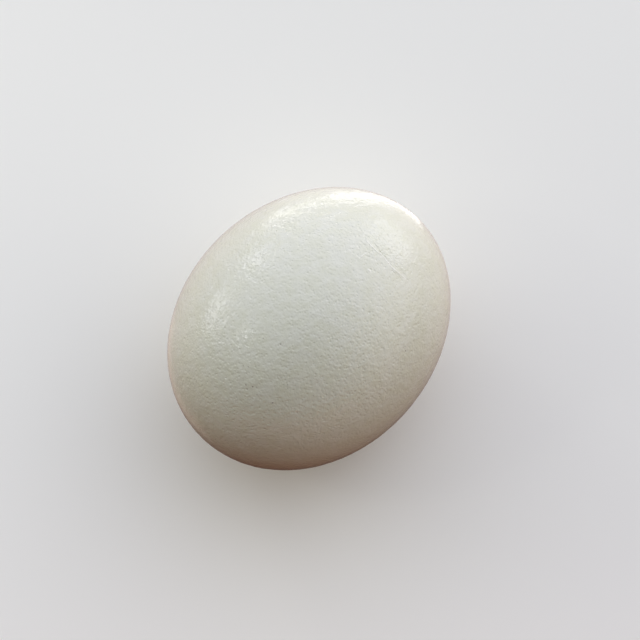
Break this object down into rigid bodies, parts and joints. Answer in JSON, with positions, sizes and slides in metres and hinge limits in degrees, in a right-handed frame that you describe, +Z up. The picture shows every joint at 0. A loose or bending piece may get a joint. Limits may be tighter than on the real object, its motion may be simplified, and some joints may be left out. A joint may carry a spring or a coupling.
{
  "type": "ostrich egg",
  "caption": "Whole ostrich egg with a glossy, finely dimpled cream shell, lying on its side on a small flat spot.",
  "frame": {"origin": "on the surface that the egg rests on, under the middle of its length", "axes": "+X along the long axis towards the pointed end, +Y across the egg, +Z up from the flat spot that it rests on"},
  "size_m": [0.155, 0.128, 0.1275],
  "materials": {
    "shell": "glossy cream eggshell with fine dimples and dark pores"
  },
  "bodies": {
    "root": {"eggshell": "shell"}
  },
  "joints": []
}
